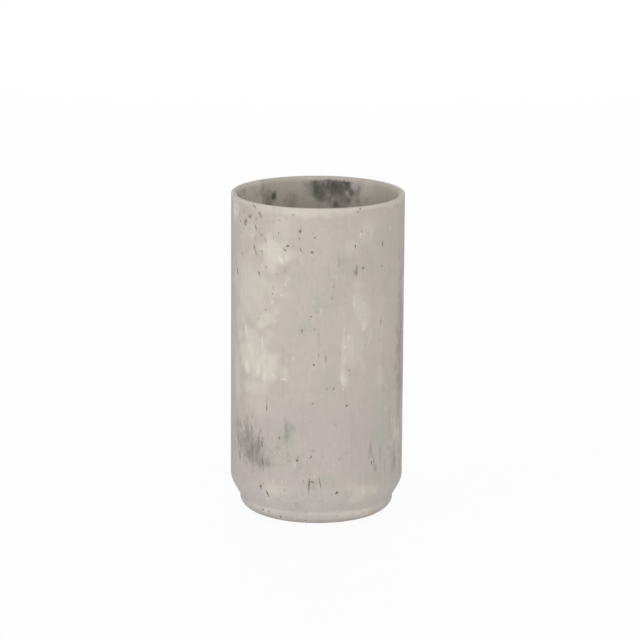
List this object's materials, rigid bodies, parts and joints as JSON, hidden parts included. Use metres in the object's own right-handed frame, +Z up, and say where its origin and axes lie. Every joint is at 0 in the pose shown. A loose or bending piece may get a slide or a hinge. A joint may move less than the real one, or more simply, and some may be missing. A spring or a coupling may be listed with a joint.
{
  "type": "bathroom tumbler",
  "caption": "Tall round stone-effect bathroom tumbler with a soft lip and a creased foot, bonded from a shell and a base, on a non-slip pad; holds toothbrushes upright.",
  "frame": {"origin": "on the tumbler's axis, on the surface that it stands on: the centre of the underside of its box", "axes": "+Z up along the tumbler's axis, out of its mouth; +X to the right and -Y towards the viewer in the picture"},
  "size_m": [0.07, 0.07, 0.132],
  "materials": {
    "cast_stone": "matt cast stone-effect, warm grey with cream clouds, fine vertical streaks, dark smudges and small pits",
    "sealant": "cured elastic sealant, satin, warm grey",
    "adhesive_film": "thin double-sided adhesive film, pale amber",
    "pad_rubber": "matt solid rubber, dark grey, fine grain"
  },
  "bodies": {
    "root": {"tumbler_shell": "cast_stone", "base_foot": "cast_stone", "bond_bead": "sealant", "pad_film": "adhesive_film", "non_slip_pad": "pad_rubber"}
  },
  "joints": []
}
